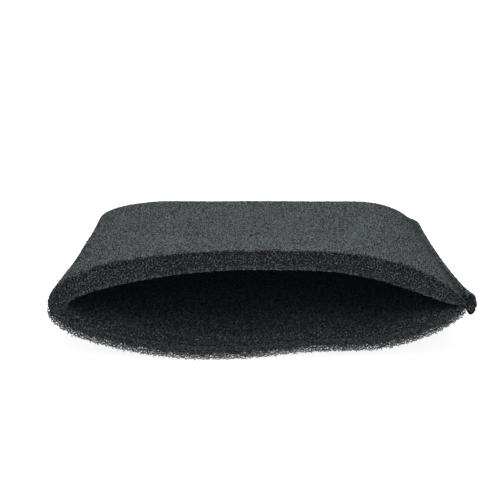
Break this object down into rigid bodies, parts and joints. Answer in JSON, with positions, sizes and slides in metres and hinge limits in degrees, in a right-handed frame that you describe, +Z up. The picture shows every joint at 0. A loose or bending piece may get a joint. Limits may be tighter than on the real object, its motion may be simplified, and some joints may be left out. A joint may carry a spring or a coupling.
{
  "type": "sponge filter",
  "caption": "Flat sleeve of open-cell foam, folded on one side, sewn along the other side and the far end, open at the near end to slip over a pump inlet.",
  "frame": {"origin": "under the middle of the sleeve, on the surface that it lies on", "axes": "+X across the mouth towards the sewn side, +Y from the open mouth to the closed end, +Z up"},
  "size_m": [0.202, 0.2, 0.0535],
  "materials": {
    "reticulated_foam": "matte",
    "polyester_thread": "satin"
  },
  "bodies": {
    "root": {"foam_sleeve": "reticulated_foam", "seam_needle_thread": "polyester_thread", "seam_bobbin_thread": "polyester_thread"}
  },
  "joints": []
}
